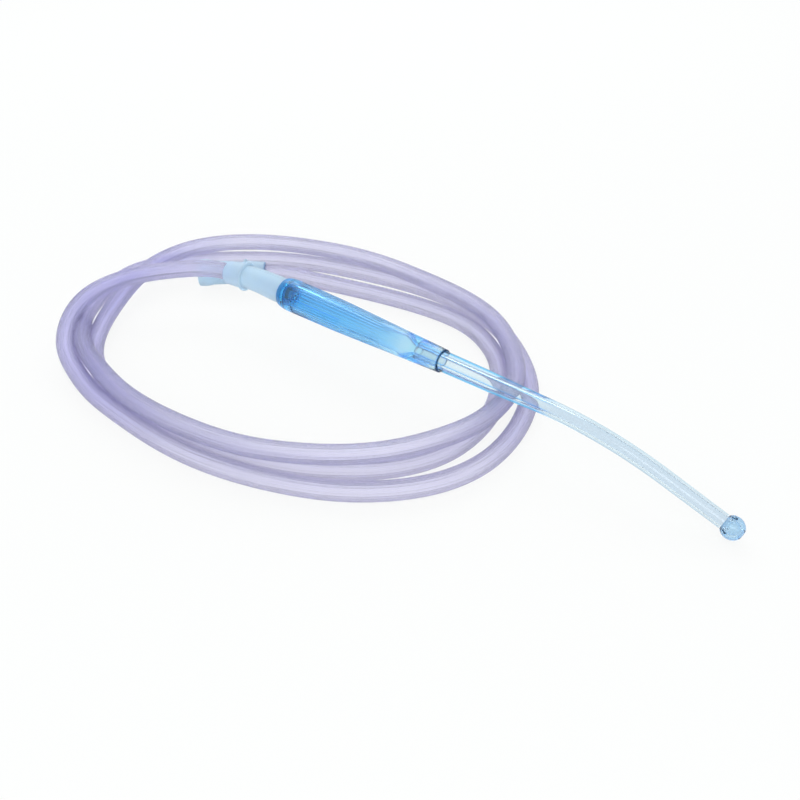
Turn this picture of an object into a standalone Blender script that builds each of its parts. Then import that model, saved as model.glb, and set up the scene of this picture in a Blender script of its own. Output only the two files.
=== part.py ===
"""Yankauer suction tube lying on its own loosely coiled suction tubing.

Blender 4.5 script. Run it with: blender --background --python part.py
Units are metres, +Z is up, +X runs to the right and +Y away from the viewer.
The origin is on the table, under the middle of the rigid suction tube.

Every turned piece is built along its own local +Z. For the handle and shaft
that is the way the air comes in reverse: from the connector to the tip.
For a connector it is the way from its open mouth to the tubing.
"""

import math

import bpy
import numpy as np
from mathutils import Matrix, Vector

# Fit between pieces that touch
CLEARANCE = 0.0003
# Widest gap at which turned profiles are welded
WELD = 0.00001

# Suction tubing
TUBING_RADIUS = 0.00475
TUBING_POINTS = 80
TUBING_SEAT = 0.0098

# Handle, measured from its front face backwards
HANDLE_LENGTH = 0.1075
HANDLE_FRONT_RADIUS = 0.0060
HANDLE_WAIST_RADIUS = 0.00835
HANDLE_WAIST_STATION = 0.0660
HANDLE_REAR_RADIUS = 0.0089
HANDLE_DOME_LENGTH = 0.0065
HANDLE_REAR_LIP_RADIUS = 0.0079
HANDLE_WALL = 0.0019
HANDLE_EDGE_ROUND = 0.0004
HANDLE_STEPS = 64

# Lengthwise flutes and the two side panels of the handle
FLUTE_COUNT = 32
FLUTE_DEPTH = 0.00022
FLUTE_FRONT = 0.0330
FLUTE_REAR = 0.1010
FLUTE_RUN_OUT = 0.0080
PANEL_FRONT = 0.0620
PANEL_REAR = 0.0960
PANEL_DEPTH = 0.00035
PANEL_HALF_ANGLE = math.radians(42)
PANEL_EDGE_ANGLE = math.radians(6)
PANEL_STEP = 0.0004

# Spigot at the back of the handle and the recess around it
SPIGOT_RADIUS = 0.0050
SPIGOT_TIP_RADIUS = 0.0047
SPIGOT_BORE_RADIUS = 0.0033
SPIGOT_LENGTH = 0.0195
SPIGOT_LEAD_IN = 0.0030
RECESS_DEPTH = 0.0032
CAVITY_FRONT = 0.0165
CAVITY_CONE = 0.0060

# Shaft, measured from the handle's front face forwards
SHAFT_PLUG_LENGTH = 0.0140
SHAFT_PLUG_RADIUS = 0.0042
SHAFT_BORE_RADIUS = 0.0022
SHAFT_ROOT_RADIUS = 0.0052
SHAFT_STRAIGHT = 0.0571
SHAFT_BEND_LENGTH = 0.0633
SHAFT_BEND_ANGLE = math.radians(17.0)
SHAFT_TIP_STRAIGHT = 0.0292
SHAFT_SHOULDER_END = 0.0270
SHAFT_SHOULDER_RADIUS = 0.0049
SHAFT_SLIM_START = 0.0550
SHAFT_SLIM_RADIUS = 0.00415
SHAFT_TIP_RADIUS = 0.00352
SHAFT_NOSE_RADIUS = 0.0029
SHAFT_NOSE_LENGTH = 0.0030
SHAFT_STEPS = 28

# Ball tip
BALL_RADIUS = 0.00525
BALL_CHAMBER_RADIUS = 0.0031
END_EYE_RADIUS = 0.0018
SIDE_EYE_RADIUS = 0.0012
SIDE_EYE_COUNT = 4
SIDE_EYE_SETBACK = 0.0015
BALL_STEPS = 28
BALL_RINGS = 9

# Connectors
NEAR_CUFF_LENGTH = 0.0325
FAR_CUFF_LENGTH = 0.0265
CUFF_NECK_RADIUS = 0.0064
CUFF_MOUTH_RADIUS = 0.0071
FREE_MOUTH_RADIUS = 0.0079
MOUTH_FLARE_LENGTH = 0.0090
LIP_ROUND = 0.0008
FLANGE_RADIUS = 0.0081
FLANGE_THICKNESS = 0.0018
COLLAR_LENGTH = 0.0110
COLLAR_ROOT_RADIUS = 0.0071
COLLAR_END_RADIUS = 0.0065
COLLAR_ROUND = 0.0008
STOP_THICKNESS = 0.0016
CONNECTOR_LUMEN_RADIUS = 0.0032
CONNECTOR_STEPS = 32
CONNECTOR_FLEX = math.radians(13)
CONNECTOR_FLEX_LENGTH = 0.0145

# Where the pieces lie on the table
HANDLE_FRONT_X = -0.0115
HANDLE_FRONT_Y = 0.0095
HANDLE_HEADING = math.radians(-39.95)
FAR_MOUTH = Vector((-0.1520, 0.1325, FLANGE_RADIUS + CLEARANCE))

# Route of the tubing from the far connector to the near one: the points
# where the middle of the tubing lies, in millimetres.
ROUTE = (
    (-90.5, 130.0, 6.5),
    (-62.5, 120.0, 4.9),
    (-28.0, 102.5, 4.9),
    (-10.5, 91.0, 4.9),
    (4.5, 76.5, 4.9),
    (14.0, 58.5, 4.9),
    (18.3, 39.5, 4.9),
    (17.8, 19.5, 4.9),
    (13.0, -2.5, 4.9),
    (3.0, -21.5, 4.9),
    (-12.0, -37.5, 4.9),
    (-31.5, -47.0, 4.9),
    (-57.5, -50.0, 4.9),
    (-88.5, -45.0, 4.9),
    (-119.5, -30.5, 4.9),
    (-146.5, -12.5, 4.9),
    (-170.0, 10.0, 4.9),
    (-186.0, 30.0, 4.9),
    (-194.0, 49.5, 5.0),
    (-196.0, 72.5, 6.5),
    (-190.5, 100.5, 11.0),
    (-179.0, 132.5, 13.5),
    (-159.5, 152.5, 14.6),
    (-130.0, 161.3, 14.6),
    (-86.0, 154.0, 14.6),
    (-51.0, 138.0, 14.6),
    (-17.5, 111.0, 14.6),
    (6.5, 85.5, 14.6),
    (18.5, 64.5, 14.6),
    (24.2, 41.5, 14.6),
    (25.5, 22.0, 14.6),
    (23.2, 5.0, 14.6),
    (17.0, -9.0, 14.6),
    (5.5, -25.0, 14.6),
    (-16.0, -40.0, 14.6),
    (-36.5, -48.0, 14.6),
    (-58.5, -51.0, 14.6),
    (-80.5, -49.5, 14.6),
    (-100.5, -45.0, 14.6),
    (-128.5, -31.5, 14.6),
    (-152.0, -15.0, 14.6),
    (-167.0, -0.8, 14.6),
    (-180.5, 16.2, 14.6),
    (-190.0, 30.5, 14.6),
    (-197.8, 46.5, 13.3),
    (-204.0, 67.0, 10.8),
    (-207.0, 90.5, 7.5),
    (-206.0, 109.0, 5.5),
    (-201.5, 125.5, 4.9),
    (-193.5, 140.0, 4.9),
    (-179.5, 150.0, 4.9),
    (-156.5, 155.5, 4.9),
    (-130.0, 157.5, 4.9),
    (-106.5, 156.0, 4.9),
    (-85.5, 151.3, 4.9),
    (-61.5, 142.0, 4.9),
    (-38.5, 131.0, 4.9),
    (-14.5, 116.0, 4.9),
    (5.5, 97.5, 4.9),
    (19.2, 78.5, 4.9),
    (27.5, 56.5, 4.9),
    (31.8, 33.5, 4.9),
    (32.0, 11.5, 4.9),
    (27.0, -9.0, 4.9),
    (17.5, -29.0, 4.9),
    (5.0, -45.0, 4.9),
    (-14.5, -58.0, 4.9),
    (-37.5, -63.8, 4.9),
    (-59.5, -63.8, 4.9),
    (-87.5, -57.5, 4.9),
    (-115.5, -46.0, 4.9),
    (-141.5, -29.5, 5.0),
    (-166.0, -8.5, 5.3),
    (-185.0, 10.5, 6.0),
    (-198.5, 29.0, 7.9),
    (-206.8, 45.0, 11.0),
    (-209.0, 58.5, 14.6),
    (-207.3, 71.0, 18.3),
    (-202.0, 82.5, 21.0),
    (-192.5, 92.5, 22.6),
    (-177.5, 101.0, 23.6),
    (-161.5, 105.5, 24.0),
)

MM = 0.001


def clear_scene():
    for thing in list(bpy.data.objects):
        bpy.data.objects.remove(thing, do_unlink=True)


def new_collection(name):
    group = bpy.data.collections.new(name)
    bpy.context.scene.collection.children.link(group)
    return group


def plastic(name, colour, roughness, transmission=0.0):
    """A plain Principled finish for one moulded piece."""
    finish = bpy.data.materials.new(name)
    finish.use_nodes = True
    shader = finish.node_tree.nodes["Principled BSDF"]
    shader.inputs["Base Color"].default_value = (*colour, 1.0)
    shader.inputs["Roughness"].default_value = roughness
    shader.inputs["Metallic"].default_value = 0.0
    shader.inputs["Transmission Weight"].default_value = transmission
    return finish


def turned(name, outline, steps):
    """Turns a closed outline of (radius, height) points about local Z.

    The outline runs down the outer side and comes back up the bore.
    """
    count = len(outline)
    mesh = bpy.data.meshes.new(name)
    points = [(radius, 0.0, height) for radius, height in outline]
    edges = [(i, (i + 1) % count) for i in range(count)]
    mesh.from_pydata(points, edges, [])
    thing = bpy.data.objects.new(name, mesh)
    bpy.context.scene.collection.objects.link(thing)
    screw = thing.modifiers.new("Turn", "SCREW")
    screw.axis = "Z"
    screw.steps = steps
    screw.render_steps = steps
    screw.use_merge_vertices = True
    screw.merge_threshold = WELD
    return made_solid(thing)


def made_solid(thing):
    """Replaces an object by a new one that holds its evaluated mesh."""
    name = thing.name
    graph = bpy.context.evaluated_depsgraph_get()
    graph.update()
    mesh = bpy.data.meshes.new_from_object(thing.evaluated_get(graph))
    place = thing.matrix_world.copy()
    bpy.data.objects.remove(thing, do_unlink=True)
    mesh.name = name
    solid = bpy.data.objects.new(name, mesh)
    bpy.context.scene.collection.objects.link(solid)
    solid.matrix_world = place
    return solid


def bend(thing, start, length, angle):
    """Bends an object that stands along local Z towards local -Y."""
    radius = length / angle
    for vertex in thing.data.vertices:
        x, y, z = vertex.co
        if z <= start:
            continue
        turn = min((z - start) / radius, angle)
        rest = max(z - start - length, 0.0)
        fall = radius * (1 - math.cos(turn)) + rest * math.sin(turn)
        reach = radius * math.sin(turn) + rest * math.cos(turn)
        vertex.co = (x, y * math.cos(turn) - fall, start + reach + y * math.sin(turn))
    thing.data.update()


def frame_of(up, forward, place):
    """A placing matrix whose local Y is up and local Z is forward."""
    side = up.cross(forward)
    turn = Matrix((side, up, forward)).transposed()
    return Matrix.Translation(place) @ turn.to_4x4()


def cut(thing, cutter):
    """Takes the cutter out of the object."""
    cutter.hide_render = True
    cutter.display_type = "WIRE"
    saw = thing.modifiers.new("Cut " + cutter.name, "BOOLEAN")
    saw.operation = "DIFFERENCE"
    saw.solver = "EXACT"
    saw.object = cutter


def finish_part(thing, parts, finish, edge_angle=35):
    """Shades a piece, gives it its finish and files it with the parts."""
    thing.data.shade_smooth()
    thing.data.set_sharp_from_angle(angle=math.radians(edge_angle))
    thing.data.materials.clear()
    thing.data.materials.append(finish)
    bpy.context.scene.collection.objects.unlink(thing)
    parts.objects.link(thing)


def stations(first, last, count):
    """Evenly spaced values from first to last, both included."""
    return [first + (last - first) * i / (count - 1) for i in range(count)]


def blend(value, low, high):
    """0 below low, 1 above high and smooth between them."""
    share = min(max((value - low) / (high - low), 0.0), 1.0)
    return share * share * (3 - 2 * share)


def handle_radius(depth):
    """Outer radius of the handle at a depth behind its front face."""
    if depth < HANDLE_WAIST_STATION:
        share = depth / HANDLE_WAIST_STATION
        return HANDLE_FRONT_RADIUS + (HANDLE_WAIST_RADIUS - HANDLE_FRONT_RADIUS) * share
    shoulder = HANDLE_LENGTH - HANDLE_DOME_LENGTH
    if depth < shoulder:
        share = (depth - HANDLE_WAIST_STATION) / (shoulder - HANDLE_WAIST_STATION)
        return HANDLE_WAIST_RADIUS + (HANDLE_REAR_RADIUS - HANDLE_WAIST_RADIUS) * share
    share = min((depth - shoulder) / HANDLE_DOME_LENGTH, 1.0)
    drop = HANDLE_REAR_RADIUS - HANDLE_REAR_LIP_RADIUS
    return HANDLE_REAR_RADIUS - drop * (1 - math.sqrt(1 - share * share))


def handle_outline():
    socket_radius = SHAFT_PLUG_RADIUS + CLEARANCE
    socket_end = SHAFT_PLUG_LENGTH + CLEARANCE
    recess_radius = CUFF_MOUTH_RADIUS + CLEARANCE
    recess_floor = HANDLE_LENGTH - RECESS_DEPTH
    spigot_end = recess_floor + SPIGOT_LENGTH
    cavity_end = recess_floor - HANDLE_WALL
    shoulder = HANDLE_LENGTH - HANDLE_DOME_LENGTH
    depths = stations(HANDLE_EDGE_ROUND, FLUTE_FRONT, 4)[:-1]
    depths += stations(FLUTE_FRONT, PANEL_FRONT - PANEL_STEP, 5)
    depths += [PANEL_FRONT, PANEL_FRONT + PANEL_STEP]
    depths += stations(PANEL_FRONT, PANEL_REAR, 4)[1:-1]
    depths += [PANEL_REAR - PANEL_STEP, PANEL_REAR, PANEL_REAR + PANEL_STEP]
    depths += stations(shoulder, HANDLE_LENGTH, 6)
    outer = [(HANDLE_FRONT_RADIUS - HANDLE_EDGE_ROUND, 0.0)]
    outer += [(handle_radius(depth), -depth) for depth in depths]
    rear = [
        (recess_radius, -HANDLE_LENGTH),
        (recess_radius, -recess_floor),
        (SPIGOT_RADIUS, -recess_floor),
        (SPIGOT_RADIUS, -(spigot_end - SPIGOT_LEAD_IN)),
        (SPIGOT_TIP_RADIUS, -spigot_end),
        (SPIGOT_BORE_RADIUS, -spigot_end),
    ]
    cavity_start = CAVITY_FRONT + CAVITY_CONE
    inside = [(SPIGOT_BORE_RADIUS, -cavity_end)]
    for depth in stations(cavity_end, cavity_start, 6):
        inside.append((handle_radius(min(depth, shoulder)) - HANDLE_WALL, -depth))
    inside += [
        (SHAFT_BORE_RADIUS, -CAVITY_FRONT),
        (SHAFT_BORE_RADIUS, -socket_end),
        (socket_radius, -socket_end),
        (socket_radius, 0.0),
    ]
    return outer + rear + inside


def shape_handle_skin(thing):
    """Sinks the flutes and the two side panels into the turned handle."""
    for vertex in thing.data.vertices:
        x, y, z = vertex.co
        depth = -z
        radius = math.hypot(x, y)
        if depth < 0 or depth > HANDLE_LENGTH or radius < handle_radius(depth) - WELD:
            continue
        angle = math.atan2(y, x)
        run = blend(depth, FLUTE_FRONT, FLUTE_FRONT + FLUTE_RUN_OUT)
        run *= 1 - blend(depth, FLUTE_REAR - FLUTE_RUN_OUT, FLUTE_REAR)
        sink = FLUTE_DEPTH * run * 0.5 * (1 - math.cos(FLUTE_COUNT * angle))
        off_side = min(abs(angle), math.pi - abs(angle))
        panel = blend(PANEL_HALF_ANGLE - off_side, 0.0, PANEL_EDGE_ANGLE)
        panel *= blend(depth, PANEL_FRONT, PANEL_FRONT + PANEL_STEP)
        panel *= 1 - blend(depth, PANEL_REAR - PANEL_STEP, PANEL_REAR)
        sink += PANEL_DEPTH * panel
        share = (radius - sink) / radius
        vertex.co = (x * share, y * share, z)
    thing.data.update()


def make_handle(parts, place):
    handle = turned("handle", handle_outline(), HANDLE_STEPS)
    shape_handle_skin(handle)
    handle.matrix_world = place
    blue = plastic("handle_clear_blue", (0.12, 0.45, 0.90), 0.12, 0.6)
    finish_part(handle, parts, blue)


def shaft_radius(reach):
    """Outer radius of the shaft at a reach in front of the handle."""
    knots = (
        (0.0, SHAFT_ROOT_RADIUS),
        (SHAFT_SHOULDER_END, SHAFT_SHOULDER_RADIUS),
        (SHAFT_SLIM_START, SHAFT_SLIM_RADIUS),
        (SHAFT_STRAIGHT + SHAFT_BEND_LENGTH + SHAFT_TIP_STRAIGHT, SHAFT_TIP_RADIUS),
    )
    for (low, radius_low), (high, radius_high) in zip(knots, knots[1:]):
        if reach <= high:
            return radius_low + (radius_high - radius_low) * (reach - low) / (high - low)
    return SHAFT_TIP_RADIUS


def shaft_length():
    return SHAFT_STRAIGHT + SHAFT_BEND_LENGTH + SHAFT_TIP_STRAIGHT


def shaft_outline():
    end = shaft_length()
    bend_end = SHAFT_STRAIGHT + SHAFT_BEND_LENGTH
    reaches = [end, bend_end]
    reaches += stations(bend_end, SHAFT_STRAIGHT, 9)[1:]
    reaches += [SHAFT_SLIM_START, SHAFT_SHOULDER_END]
    nose = [
        (SHAFT_BORE_RADIUS, end + SHAFT_NOSE_LENGTH),
        (SHAFT_NOSE_RADIUS, end + SHAFT_NOSE_LENGTH),
        (SHAFT_NOSE_RADIUS, end),
    ]
    outer = [(shaft_radius(reach), reach) for reach in reaches]
    root = [
        (SHAFT_ROOT_RADIUS, HANDLE_EDGE_ROUND + CLEARANCE),
        (SHAFT_ROOT_RADIUS - HANDLE_EDGE_ROUND, CLEARANCE),
        (SHAFT_PLUG_RADIUS, CLEARANCE),
        (SHAFT_PLUG_RADIUS, -SHAFT_PLUG_LENGTH),
        (SHAFT_BORE_RADIUS, -SHAFT_PLUG_LENGTH),
    ]
    bore = [(SHAFT_BORE_RADIUS, SHAFT_STRAIGHT)]
    bore += [(SHAFT_BORE_RADIUS, reach) for reach in stations(SHAFT_STRAIGHT, bend_end, 9)[1:]]
    return nose + outer + root + bore


def make_shaft(parts, place):
    shaft = turned("shaft", shaft_outline(), SHAFT_STEPS)
    bend(shaft, SHAFT_STRAIGHT, SHAFT_BEND_LENGTH, SHAFT_BEND_ANGLE)
    shaft.matrix_world = place
    clear = plastic("shaft_clear_tint", (0.72, 0.86, 0.95), 0.10, 0.8)
    finish_part(shaft, parts, clear)


def ball_outline():
    """Hollow ball with its centre at height 0 and the shaft's socket below."""
    seat_radius = SHAFT_NOSE_RADIUS + CLEARANCE
    seat_face = -math.sqrt(BALL_RADIUS ** 2 - SHAFT_TIP_RADIUS ** 2)
    seat_floor = seat_face + SHAFT_NOSE_LENGTH
    front_angle = math.asin(END_EYE_RADIUS / BALL_RADIUS)
    seat_angle = math.acos(seat_face / BALL_RADIUS)
    outer = []
    for angle in stations(front_angle, seat_angle, BALL_RINGS):
        outer.append((BALL_RADIUS * math.sin(angle), BALL_RADIUS * math.cos(angle)))
    chamber_top = math.sqrt(BALL_CHAMBER_RADIUS ** 2 - END_EYE_RADIUS ** 2)
    inner = [
        (seat_radius, seat_face),
        (seat_radius, seat_floor),
        (BALL_CHAMBER_RADIUS, seat_floor),
        (BALL_CHAMBER_RADIUS, 0.0),
        (0.5 * (BALL_CHAMBER_RADIUS + END_EYE_RADIUS), 0.6 * chamber_top),
        (END_EYE_RADIUS, chamber_top),
    ]
    return outer + inner


def make_ball(parts, cutters, place):
    ball = turned("tip_ball", ball_outline(), BALL_STEPS)
    for i in range(SIDE_EYE_COUNT):
        bpy.ops.mesh.primitive_cylinder_add(vertices=12, radius=SIDE_EYE_RADIUS, depth=BALL_RADIUS)
        drill = bpy.context.object
        drill.name = f"side_eye_drill_{i + 1}"
        turn = Matrix.Rotation(2 * math.pi * i / SIDE_EYE_COUNT, 4, "Z")
        lay_flat = Matrix.Rotation(math.radians(90), 4, "Y")
        spot = Matrix.Translation((BALL_RADIUS, 0.0, -SIDE_EYE_SETBACK))
        drill.matrix_world = place @ turn @ spot @ lay_flat
        for group in list(drill.users_collection):
            group.objects.unlink(drill)
        cutters.objects.link(drill)
        cut(ball, drill)
    ball.matrix_world = place
    bpy.context.view_layer.update()
    ball = made_solid(ball)
    blue = plastic("tip_clear_blue", (0.35, 0.66, 0.95), 0.10, 0.6)
    finish_part(ball, parts, blue)


def connector_outline(cuff_length, mouth_radius):
    """Outline from the open mouth at height 0 up to the tubing's collar."""
    flange_end = cuff_length + FLANGE_THICKNESS
    collar_end = flange_end + COLLAR_LENGTH
    seat_radius = TUBING_RADIUS + CLEARANCE
    seat_floor = collar_end - TUBING_SEAT - CLEARANCE
    cuff_bore = SPIGOT_RADIUS + CLEARANCE
    bore_end = seat_floor - STOP_THICKNESS
    edge = FLANGE_THICKNESS / 4
    flare = MOUTH_FLARE_LENGTH
    swell = mouth_radius - CUFF_MOUTH_RADIUS
    outer = [
        (seat_radius, collar_end),
        (COLLAR_END_RADIUS - COLLAR_ROUND, collar_end),
        (COLLAR_END_RADIUS - COLLAR_ROUND / 3, collar_end - COLLAR_ROUND / 3),
        (COLLAR_END_RADIUS, collar_end - COLLAR_ROUND),
        (COLLAR_ROOT_RADIUS, flange_end),
        (FLANGE_RADIUS - edge, flange_end),
        (FLANGE_RADIUS, flange_end - edge),
        (FLANGE_RADIUS, cuff_length + edge),
        (FLANGE_RADIUS - edge, cuff_length),
        (CUFF_NECK_RADIUS, cuff_length),
    ]
    flexing = stations(cuff_length, flex_start(cuff_length), 6)[1:]
    for height in flexing:
        share = (cuff_length - height) / (cuff_length - flare)
        widening = share * (CUFF_MOUTH_RADIUS - CUFF_NECK_RADIUS)
        outer.append((CUFF_NECK_RADIUS + widening, height))
    outer += [
        (CUFF_MOUTH_RADIUS + 0.2 * swell, flare),
        (CUFF_MOUTH_RADIUS + 0.6 * swell, 0.75 * flare),
        (mouth_radius, 0.45 * flare),
        (mouth_radius - 0.25 * LIP_ROUND, 0.2 * flare),
        (mouth_radius - LIP_ROUND, 0.0),
    ]
    bore = [
        (cuff_bore, 0.0),
        *[(cuff_bore, height) for height in reversed(flexing)],
        (cuff_bore, bore_end),
        (CONNECTOR_LUMEN_RADIUS, bore_end),
        (CONNECTOR_LUMEN_RADIUS, seat_floor),
        (seat_radius, seat_floor),
    ]
    return outer + bore


def connector_length(cuff_length):
    return cuff_length + FLANGE_THICKNESS + COLLAR_LENGTH


def flex_start(cuff_length):
    """A cuff flexes from here up to the far side of its flange."""
    return cuff_length + FLANGE_THICKNESS - CONNECTOR_FLEX_LENGTH


def make_connector(name, parts, place, cuff_length, mouth_radius, flex, finish):
    outline = connector_outline(cuff_length, mouth_radius)
    connector = turned(name, outline, CONNECTOR_STEPS)
    if flex:
        bend(connector, flex_start(cuff_length), CONNECTOR_FLEX_LENGTH, flex)
    connector.matrix_world = place
    finish_part(connector, parts, finish)


def bent_point(height, start, length, angle):
    """Where bend() puts a point of the axis beyond the bend."""
    radius = length / angle
    rest = height - start - length
    fall = radius * (1 - math.cos(angle)) + rest * math.sin(angle)
    reach = radius * math.sin(angle) + rest * math.cos(angle)
    return Vector((0.0, -fall, start + reach))


def smooth_curve(points, count, straight):
    """Reads points from a natural cubic spline, evenly spaced between its two
    straight end stretches, each of which is as many points long as stated."""
    points = np.array(points)
    steps = np.linalg.norm(np.diff(points, axis=0), axis=1)
    at = np.concatenate(([0.0], np.cumsum(steps)))
    size = len(points)
    matrix = np.zeros((size, size))
    right = np.zeros((size, 3))
    matrix[0, 0] = matrix[-1, -1] = 1.0
    slopes = np.diff(points, axis=0) / steps[:, None]
    for i in range(1, size - 1):
        matrix[i, i - 1:i + 2] = steps[i - 1], 2 * (steps[i - 1] + steps[i]), steps[i]
        right[i] = 6 * (slopes[i] - slopes[i - 1])
    bows = np.linalg.solve(matrix, right)
    where = [0.0, *np.linspace(at[straight], at[-1 - straight], count - 2), at[-1]]
    found = []
    for value in where:
        i = min(int(np.searchsorted(at, value, side="right")) - 1, size - 2)
        gap = steps[i]
        a = (at[i + 1] - value) / gap
        b = 1.0 - a
        pull = ((a ** 3 - a) * bows[i] + (b ** 3 - b) * bows[i + 1]) * gap * gap / 6
        found.append(a * points[i] + b * points[i + 1] + pull)
    return found


def make_tubing(parts, far_place, near_place):
    """The tubing, seated in both collars and laid along its route."""
    past_collar = (-TUBING_SEAT, 0.0, TUBING_RADIUS)
    far_points = []
    for past in past_collar:
        height = connector_length(FAR_CUFF_LENGTH) + past
        far_points.append(far_place @ Vector((0.0, 0.0, height)))
    near_points = []
    for past in reversed(past_collar):
        height = connector_length(NEAR_CUFF_LENGTH) + past
        flex_from = flex_start(NEAR_CUFF_LENGTH)
        spot = bent_point(height, flex_from, CONNECTOR_FLEX_LENGTH, CONNECTOR_FLEX)
        near_points.append(near_place @ spot)
    route = [Vector(point) * MM for point in ROUTE]
    straight = len(far_points) - 1
    points = smooth_curve(far_points + route + near_points, TUBING_POINTS, straight)
    curve = bpy.data.curves.new("suction_tubing", "CURVE")
    curve.dimensions = "3D"
    line = curve.splines.new("POLY")
    line.points.add(len(points) - 1)
    for spot, point in zip(line.points, points):
        spot.co = (*point, 1.0)
    curve.bevel_depth = TUBING_RADIUS
    curve.bevel_resolution = 4
    curve.use_fill_caps = True
    tubing = bpy.data.objects.new("suction_tubing", curve)
    bpy.context.scene.collection.objects.link(tubing)
    lilac = plastic("tubing_clear_lilac", (0.70, 0.69, 0.88), 0.30, 0.4)
    curve.materials.append(lilac)
    bpy.context.scene.collection.objects.unlink(tubing)
    parts.objects.link(tubing)


def main():
    clear_scene()
    parts = new_collection("yankauer_suction_tube")
    cutters = new_collection("cutters")

    up = Vector((0.0, 0.0, 1.0))
    forward = Vector((math.cos(HANDLE_HEADING), math.sin(HANDLE_HEADING), 0.0))
    across = up.cross(forward)
    ball_face = math.sqrt(BALL_RADIUS ** 2 - SHAFT_TIP_RADIUS ** 2)
    ball_reach = shaft_length() + CLEARANCE + ball_face
    ball_spot = bent_point(ball_reach, SHAFT_STRAIGHT, SHAFT_BEND_LENGTH, SHAFT_BEND_ANGLE)
    # The ball touches the table, which sets how high the handle is held.
    handle_front = Vector((HANDLE_FRONT_X, HANDLE_FRONT_Y, BALL_RADIUS - ball_spot.y))
    handle_place = frame_of(up, forward, handle_front)
    make_handle(parts, handle_place)
    make_shaft(parts, handle_place)
    tilt = Matrix.Translation(ball_spot) @ Matrix.Rotation(SHAFT_BEND_ANGLE, 4, "X")
    make_ball(parts, cutters, handle_place @ tilt)

    mouth_depth = HANDLE_LENGTH - RECESS_DEPTH + CLEARANCE
    near_mouth = handle_front - forward * mouth_depth
    near_place = frame_of(across, -forward, near_mouth)
    far_place = frame_of(up, Vector((1.0, 0.0, 0.0)), FAR_MOUTH)
    powder = plastic("connector_powder_blue", (0.52, 0.70, 0.88), 0.45, 0.1)
    make_connector("near_connector", parts, near_place, NEAR_CUFF_LENGTH,
                   CUFF_MOUTH_RADIUS, CONNECTOR_FLEX, powder)
    make_connector("far_connector", parts, far_place, FAR_CUFF_LENGTH,
                   FREE_MOUTH_RADIUS, 0.0, powder)
    make_tubing(parts, far_place, near_place)


main()
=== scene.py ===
"""Looks of a clear blue yankauer suction tube lying on its coiled lilac tubing.

Sizes are in metres and repeat those of the solids, so that each finer piece
fills the place of the solid that it stands for.
"""

import math

import bmesh
import bpy
import numpy as np
from mathutils import Matrix, Vector


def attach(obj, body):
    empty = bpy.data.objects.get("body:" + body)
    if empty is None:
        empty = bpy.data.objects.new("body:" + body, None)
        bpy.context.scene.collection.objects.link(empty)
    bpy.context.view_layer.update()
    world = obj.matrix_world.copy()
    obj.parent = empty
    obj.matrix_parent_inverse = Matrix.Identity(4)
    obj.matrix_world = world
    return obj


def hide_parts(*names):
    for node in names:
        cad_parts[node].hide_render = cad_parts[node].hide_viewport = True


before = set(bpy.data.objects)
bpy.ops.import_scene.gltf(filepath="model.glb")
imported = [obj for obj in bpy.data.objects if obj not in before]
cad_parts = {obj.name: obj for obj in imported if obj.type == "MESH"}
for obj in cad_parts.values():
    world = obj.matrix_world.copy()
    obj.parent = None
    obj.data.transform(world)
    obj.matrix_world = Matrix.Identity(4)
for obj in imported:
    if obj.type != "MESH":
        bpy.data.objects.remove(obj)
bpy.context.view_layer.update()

# Camera, from the photograph
PHOTO_WIDTH = 800
FOCAL_PIXELS = 955
SENSOR_MM = 36.0
CAMERA_PLACE = (-0.0323, -0.3795, 0.2738)
CAMERA_DOWN = math.radians(35)

# Fit between pieces that touch, and how far a point may be off a skin
CLEARANCE = 0.0003
WELD = 0.00001

# Edges steeper than this stay sharp
SHARP_EDGE = math.radians(35)

# Suction tubing
TUBING_RADIUS = 0.00475
TUBING_BORE = 0.0032
TUBING_SEAT = 0.0098
TUBING_STEP = 0.0032
RIB_COUNT = 44
TUBING_SIDES = 48
BORE_SIDES = 24

# Handle, measured from its front face backwards
HANDLE_LENGTH = 0.1075
HANDLE_FRONT_RADIUS = 0.0060
HANDLE_WAIST_RADIUS = 0.00835
HANDLE_WAIST_STATION = 0.0660
HANDLE_REAR_RADIUS = 0.0089
HANDLE_DOME_LENGTH = 0.0065
HANDLE_REAR_LIP_RADIUS = 0.0079
HANDLE_WALL = 0.0019
HANDLE_EDGE_ROUND = 0.0004
FLUTE_COUNT = 32
FLUTE_SIDES = 8
FLUTE_DEPTH = 0.00022
FLUTE_FRONT = 0.0330
FLUTE_REAR = 0.1010
FLUTE_RUN_OUT = 0.0080
PANEL_FRONT = 0.0620
PANEL_REAR = 0.0960
PANEL_DEPTH = 0.00035
PANEL_HALF_ANGLE = math.radians(42)
PANEL_EDGE_ANGLE = math.radians(6)
PANEL_STEP = 0.0004
PANEL_TINT_ANGLE = math.radians(27)

# Dark blue marks painted on the handle's wall beside the shaft's plug
WEB_ANGLE = math.radians(52)
WEB_FRONT = 0.0045
WEB_REAR = 0.0255
WEB_WIDTH = 0.34
WEB_EDGE = 0.08
WEB_SHARE = 0.9

# Spigot at the back of the handle and the recess around it
SPIGOT_RADIUS = 0.0050
SPIGOT_TIP_RADIUS = 0.0047
SPIGOT_BORE_RADIUS = 0.0033
SPIGOT_LENGTH = 0.0195
SPIGOT_LEAD_IN = 0.0030
RECESS_DEPTH = 0.0032
CAVITY_FRONT = 0.0165
CAVITY_CONE = 0.0060

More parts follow.
